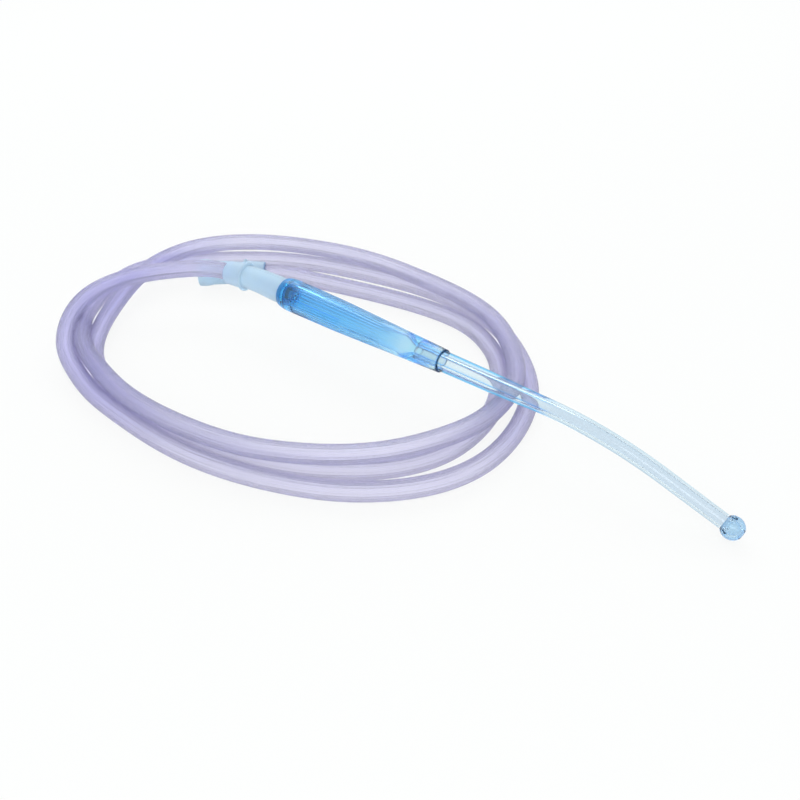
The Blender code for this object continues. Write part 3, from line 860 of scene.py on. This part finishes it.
def connector_outline(cuff_length, mouth_radius):
    """Outline from the open mouth at height 0 up to the tubing's collar."""
    flange_end = cuff_length + FLANGE_THICKNESS
    collar_end = flange_end + COLLAR_LENGTH
    seat_radius = TUBING_RADIUS + CLEARANCE
    seat_floor = collar_end - TUBING_SEAT - CLEARANCE
    cuff_bore = SPIGOT_RADIUS + CLEARANCE
    bore_end = seat_floor - STOP_THICKNESS
    half = FLANGE_THICKNESS / 2
    flare = MOUTH_FLARE_LENGTH
    swell = mouth_radius - CUFF_MOUTH_RADIUS
    outer = [(seat_radius, collar_end)]
    outer += corner((COLLAR_END_RADIUS - COLLAR_ROUND, collar_end - COLLAR_ROUND),
                    COLLAR_ROUND, 90, 0, 6)
    outer.append((COLLAR_ROOT_RADIUS, flange_end))
    outer += corner((FLANGE_RADIUS - half, cuff_length + half), half, 90, -90, 13)
    for height in stations(cuff_length, flare, 16):
        share = (cuff_length - height) / (cuff_length - flare)
        widening = share * (CUFF_MOUTH_RADIUS - CUFF_NECK_RADIUS)
        outer.append((CUFF_NECK_RADIUS + widening, height))
    for height in stations(flare, LIP_ROUND, 14)[1:]:
        share = blend(flare - height, 0.0, MOUTH_SWELL_SHARE * flare)
        outer.append((CUFF_MOUTH_RADIUS + swell * share, height))
    outer += corner((mouth_radius - LIP_ROUND, LIP_ROUND), LIP_ROUND, 0, -90, 7)[1:]
    bore = [(cuff_bore, height) for height in stations(0.0, bore_end, 16)]
    bore += [
        (CONNECTOR_LUMEN_RADIUS, bore_end),
        (CONNECTOR_LUMEN_RADIUS, seat_floor),
        (seat_radius, seat_floor),
    ]
    return outer + bore


def shape_connector_skin(mesh, cuff_length):
    """Raises the thin rib along the cuff and marks the collar's end, where a painted shade goes."""
    # The collar_end layer marks where the painted shade at the collar's end goes
    marked = mesh.verts.layers.float.new("collar_end")
    collar_end = connector_length(cuff_length)
    for vertex in mesh.verts:
        x, y, z = vertex.co
        vertex[marked] = blend(z, collar_end - COLLAR_ROUND, collar_end)
        on_skin = x > CUFF_NECK_RADIUS - WELD and abs(y) < WELD
        if on_skin and MOUTH_FLARE_LENGTH / 2 < z < cuff_length - WELD:
            vertex.co.x = x + CUFF_RIB_HEIGHT


def make_connector(name, place, cuff_length, mouth_radius, flex):
    mesh = turned(connector_outline(cuff_length, mouth_radius), CONNECTOR_SIDES)
    shape_connector_skin(mesh, cuff_length)
    if flex:
        bend(mesh, flex_start(cuff_length), CONNECTOR_FLEX_LENGTH, flex)
    return made_piece(name, mesh, place)


# Materials


class Finish:
    """A material, with the patterns and colours that its nodes make."""

    def __init__(self, name):
        self.material = bpy.data.materials.new(name)
        self.material.use_nodes = True
        self.tree = self.material.node_tree
        self.tree.nodes.clear()
        self.end = self.node("ShaderNodeOutputMaterial")

    def node(self, kind, settings=(), **sockets):
        return add_node(self.tree, kind, settings, **sockets)

    def value(self, kind, output, settings=(), **sockets):
        return Value(self.tree, self.node(kind, settings, **sockets).outputs[output])

    def attribute(self, name):
        """A number that the piece's mesh holds."""
        return self.value("ShaderNodeAttribute", "Fac", {"attribute_name": name})

    def ranged(self, value, low, high, at_low, at_high):
        """Runs from at_low to at_high while value runs from low to high."""
        return self.value("ShaderNodeMapRange", "Result", Value=value, From_Min=low,
                          From_Max=high, To_Min=at_low, To_Max=at_high)

    def place(self):
        return self.node("ShaderNodeTexCoord").outputs["Object"]

    def noise(self, scale, detail=3.0, roughness=0.5, vector=None):
        return self.value("ShaderNodeTexNoise", "Fac", Vector=vector or self.place(),
                          Scale=scale, Detail=detail, Roughness=roughness)

    def mixed(self, share, low, high, blend_type="MIX"):
        """A colour between low and high, each a colour or a socket, by a share."""
        node = self.node("ShaderNodeMix", {"data_type": "RGBA", "blend_type": blend_type})
        fill(self.tree, node.inputs[MIX_SHARE], share)
        for index, colour in ((MIX_LOW, low), (MIX_HIGH, high)):
            if isinstance(colour, tuple):
                colour = (*colour, 1.0)
            fill(self.tree, node.inputs[index], colour)
        return node.outputs[MIX_RESULT]

    def along(self, height, shades):
        """A colour that follows (height, colour) pairs."""
        low, high = shades[0][0], shades[-1][0]
        ramp = self.node("ShaderNodeValToRGB", Fac=self.ranged(height, low, high, 0.0, 1.0))
        while len(ramp.color_ramp.elements) < len(shades):
            ramp.color_ramp.elements.new(1.0)
        for element, (at, colour) in zip(ramp.color_ramp.elements, shades):
            element.position = (at - low) / (high - low)
            element.color = (*colour, 1.0)
        return ramp.outputs["Color"]

    def rim(self, sharpness, strength):
        """Share by which a clear wall looks deeper towards its silhouette."""
        facing = self.value("ShaderNodeLayerWeight", "Facing", Blend=0.5)
        return (facing.maths("POWER", sharpness) * strength).maths("MINIMUM", 1.0)

    def drawn_out(self, own):
        """Coordinates by the angle about a piece's own Z, nearly even along it."""
        parts = []
        for size in ((1.0, 1.0, 0.0), (0.0, 0.0, STREAK_STRETCH)):
            parts.append(self.node("ShaderNodeVectorMath", {"operation": "MULTIPLY"}))
            fill(self.tree, parts[-1].inputs[0], own.outputs["Vector"])
            fill(self.tree, parts[-1].inputs[1], size)
        around = self.node("ShaderNodeVectorMath", {"operation": "NORMALIZE"})
        fill(self.tree, around.inputs[0], parts[0].outputs["Vector"])
        whole = self.node("ShaderNodeVectorMath", {"operation": "ADD"})
        fill(self.tree, whole.inputs[0], around.outputs["Vector"])
        fill(self.tree, whole.inputs[1], parts[1].outputs["Vector"])
        return whole.outputs["Vector"]

    def bump(self, height, distance):
        return self.node("ShaderNodeBump", Height=height, Distance=distance).outputs["Normal"]

    def absorb(self, per_metre):
        """Absorbs red, green and blue at these rates inside the piece."""
        density = 1.1 * max(per_metre)
        colour = [1.0 - rate / density for rate in per_metre]
        volume = self.node("ShaderNodeVolumeAbsorption", Color=(*colour, 1.0), Density=density)
        self.tree.links.new(volume.outputs["Volume"], self.end.inputs["Volume"])

    def surface(self, shader):
        self.tree.links.new(shader.outputs[0], self.end.inputs["Surface"])
        return self.material


def handle_webs(finish, split):
    """Share of the dark marks on the handle's wall, from its own coordinates."""
    x, y, z = (Value(finish.tree, split.outputs[axis]) for axis in "XYZ")
    reach = (x * math.cos(WEB_ANGLE) + y * math.sin(WEB_ANGLE)).maths("ABSOLUTE")
    swelling = (HANDLE_WAIST_RADIUS - HANDLE_FRONT_RADIUS) / HANDLE_WAIST_STATION
    skin = HANDLE_FRONT_RADIUS - z * swelling
    along = finish.ranged(z, -WEB_REAR, -WEB_FRONT, 0.0, math.pi)
    edge = 1.0 - WEB_WIDTH * along.maths("SINE")
    return finish.ranged(reach.maths("DIVIDE", skin) - edge, 0.0, WEB_EDGE, 0.0, WEB_SHARE)


def clear_plastic(name, shades, rim_shades, rim, per_metre, index, clearness, marked=False):
    """Polished clear plastic that takes part of its colour from its thickness.

    shades and rim_shades are (height, colour) pairs along the piece's own Z, for
    its middle and its silhouette. rim is the silhouette's sharpness and strength.
    marked adds the handle's tinted panels and dark marks.
    """
    finish = Finish(name)
    own = finish.node("ShaderNodeAttribute", {"attribute_name": "own_place"})
    split = finish.node("ShaderNodeSeparateXYZ", Vector=own.outputs["Vector"])
    height = split.outputs["Z"]
    colour = finish.along(height, shades)
    if marked:
        sunk = finish.attribute("panel")
        colour = finish.mixed(sunk * PANEL_SHARE, colour, PANEL_BLUE)
        colour = finish.mixed(sunk * (1.0 - sunk) * PANEL_EDGE_SHARE, colour, DEEP_BLUE)
        colour = finish.mixed(handle_webs(finish, split), colour, DEEP_BLUE)
    colour = finish.mixed(finish.rim(*rim), colour, finish.along(height, rim_shades))
    flow = finish.noise(9.0, detail=4.0, roughness=0.6, vector=finish.drawn_out(own))
    streaks = finish.ranged(height, -FLUTE_FRONT, -CAVITY_FRONT, STREAKS_ON_FLUTES, STREAKS_AHEAD)
    shade = finish.mixed(streaks * (1.0 - flow), WHITE, STREAK_BLUE)
    shader = finish.node(
        "ShaderNodeBsdfPrincipled",
        Base_Color=finish.mixed(1.0, colour, shade, "MULTIPLY"),
        Roughness=POLISH + 0.02 * finish.noise(220.0),
        IOR=index,
        Transmission_Weight=clearness)
    finish.absorb(per_metre)
    return finish.surface(shader)


def handle_finish():
    return clear_plastic("handle_clear_blue", HANDLE_SHADES, HANDLE_RIM_SHADES, rim=(2.0, 1.2),
                         per_metre=(94.0, 18.0, 0.4), index=1.44, clearness=0.94, marked=True)


def shaft_finish():
    return clear_plastic("shaft_clear_tint", SHAFT_SHADES, SHAFT_RIM_SHADES, rim=(2.5, 5.0),
                         per_metre=(22.0, 4.0, 0.5), index=1.36, clearness=0.96)


def tip_finish():
    return clear_plastic("tip_clear_blue", TIP_SHADES, TIP_RIM_SHADES, rim=(1.5, 1.0),
                         per_metre=(66.0, 27.0, 9.0), index=1.40, clearness=0.90)


def tubing_finish():
    """Soft clear vinyl with a milky lilac tint, fine lengthwise ribs and a painted shade on the
    coil's left and right turns.
    """
    finish = Finish("lilac_vinyl")
    ribs = (finish.attribute("around") * (2 * math.pi * RIB_COUNT)).maths("SINE") * 0.5 + 0.5
    cloud = finish.noise(45.0, detail=4.0)
    fine = finish.noise(1500.0, detail=2.0)
    split = finish.node("ShaderNodeSeparateXYZ", Vector=finish.place())
    # Painted shade: the coil's left and right turns are darkened by their place, for the light that
    # falls less on them
    off_middle = (Value(finish.tree, split.outputs["X"]) - SIDE_SHADE_MIDDLE_X).maths("ABSOLUTE")
    painted_side_shade = finish.ranged(off_middle, SIDE_SHADE_START, SIDE_SHADE_FULL, 0.0, SIDE_SHADE_SHARE)
    tint = finish.mixed(ribs * 0.7 + cloud * 0.3, LILAC_DEEP, LILAC_PALE)
    tint = finish.mixed(painted_side_shade, tint, LILAC_PAINTED_SIDE_SHADE)
    shader = finish.node(
        "ShaderNodeBsdfPrincipled",
        Base_Color=finish.mixed(finish.rim(2.0, 1.0), tint, LILAC_RIM),
        Roughness=0.20 + 0.08 * cloud,
        IOR=1.28,
        Transmission_Weight=0.88,
        Normal=finish.bump(ribs + fine * 0.4, 0.00008))
    finish.absorb((30.0, 32.5, 0.4))
    return finish.surface(shader)


def connector_finish():
    """Soft milky powder-blue vinyl, satin and faintly mottled, with a painted shade at the collar's
    end.
    """
    finish = Finish("powder_blue_vinyl")
    cloud = finish.noise(140.0, detail=4.0)
    fine = finish.noise(1800.0, detail=2.0)
    colour = finish.mixed(cloud, POWDER_DEEP, POWDER_PALE)
    # Painted shade in the gap at the collar's end, where the tubing goes in
    painted_end_shade = finish.attribute("collar_end") * COLLAR_END_SHADE_SHARE
    shader = finish.node(
        "ShaderNodeBsdfPrincipled",
        Base_Color=finish.mixed(painted_end_shade, colour, COLLAR_END_PAINTED_SHADE),
        Roughness=0.40 + 0.10 * fine,
        IOR=1.36,
        Transmission_Weight=0.50,
        Normal=finish.bump(fine + cloud, 0.00003))
    return finish.surface(shader)


# Stage


def seen_share(tree):
    """1 for rays that the camera sees itself, in a gloss or through glass, else 0."""
    path = add_node(tree, "ShaderNodeLightPath")
    seen = Value(tree, path.outputs["Is Camera Ray"])
    for label in ("Is Glossy Ray", "Is Transmission Ray"):
        seen = seen.maths("MAXIMUM", Value(tree, path.outputs[label]))
    return seen


def floor_finish():
    """Pale floor that shows near white and keeps a soft shadow."""
    finish = Finish("floor_white")
    colour = (*FLOOR_WHITE, 1.0)
    diffuse = finish.node("ShaderNodeBsdfDiffuse", Color=colour)
    glow = finish.node("ShaderNodeEmission", Color=colour, Strength=FLOOR_GLOW)
    glow_share = seen_share(finish.tree) * (1.0 - FLOOR_SHADOW_SHARE)
    return finish.surface(add_shader_mix(finish.tree, glow_share, diffuse, glow))


def make_floor():
    mesh = bmesh.new()
    bmesh.ops.create_grid(mesh, x_segments=1, y_segments=1, size=FLOOR_HALF_WIDTH)
    floor = made_piece("floor", mesh, Matrix.Translation((0.0, 0.0, -FLOOR_DROP)))
    floor.data.materials.append(floor_finish())


def make_sky():
    """A graded sky, weaker in glass, that the camera itself sees as near white."""
    world = bpy.data.worlds.new("studio")
    bpy.context.scene.world = world
    world.use_nodes = True
    tree = world.node_tree
    towards = add_node(tree, "ShaderNodeTexCoord")
    split = add_node(tree, "ShaderNodeSeparateXYZ", Vector=towards.outputs["Generated"])
    aside, ahead = (Value(tree, split.outputs[axis]).maths("ABSOLUTE") for axis in "XY")
    strength = SKY_OVERHEAD + SKY_AHEAD * ahead - SKY_ASIDE * aside
    strength = strength + (SKY_IN_GLASS - strength) * seen_share(tree)
    sky = tree.nodes["Background"]
    fill(tree, sky.inputs["Color"], (*SKY_COLOUR, 1.0))
    fill(tree, sky.inputs["Strength"], strength)
    plain = add_node(tree, "ShaderNodeBackground", Color=(*FLOOR_WHITE, 1.0), Strength=FLOOR_GLOW)
    path = add_node(tree, "ShaderNodeLightPath")
    either = add_shader_mix(tree, path.outputs["Is Camera Ray"], sky, plain)
    tree.links.new(either.outputs[0], tree.nodes["World Output"].inputs["Surface"])


def hang_softboxes():
    for name, place in SOFTBOXES:
        data = bpy.data.lights.new(name, "AREA")
        data.shape = "RECTANGLE"
        data.size = SOFTBOX_WIDTH
        data.size_y = SOFTBOX_DEPTH
        data.energy = SOFTBOX_WATTS
        lamp = bpy.data.objects.new(name, data)
        bpy.context.scene.collection.objects.link(lamp)
        lamp.location = place
        lamp.rotation_euler = (-Vector(place)).to_track_quat("-Z", "Y").to_euler()


def put_on(piece, finish, node):
    """Gives a piece its finish and the solid that it stands for."""
    piece.data.materials.clear()
    piece.data.materials.append(finish)
    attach(piece, "root")
    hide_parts(node)


def main():
    place_camera()
    lilac = tubing_finish()
    tubing, path = make_tubing(lilac)
    near = make_connector("near_cuff", NEAR_PLACE, NEAR_CUFF_LENGTH,
                          CUFF_MOUTH_RADIUS, CONNECTOR_FLEX)
    far = make_connector("far_cuff", FAR_PLACE, FAR_CUFF_LENGTH, FREE_MOUTH_RADIUS, 0.0)
    powder = connector_finish()
    put_on(tubing, lilac, "suction_tubing")
    put_on(near, powder, "near_connector")
    put_on(far, powder, "far_connector")
    collar = NEAR_PLACE @ bent_point(connector_length(NEAR_CUFF_LENGTH),
                                     flex_start(NEAR_CUFF_LENGTH),
                                     CONNECTOR_FLEX_LENGTH, CONNECTOR_FLEX)

    put_on(make_handle(), handle_finish(), "handle")
    put_on(make_shaft(), shaft_finish(), "shaft")
    put_on(make_ball(), tip_finish(), "tip_ball")

    make_floor()
    make_sky()
    hang_softboxes()
    bpy.context.scene.view_settings.view_transform = "Standard"


main()
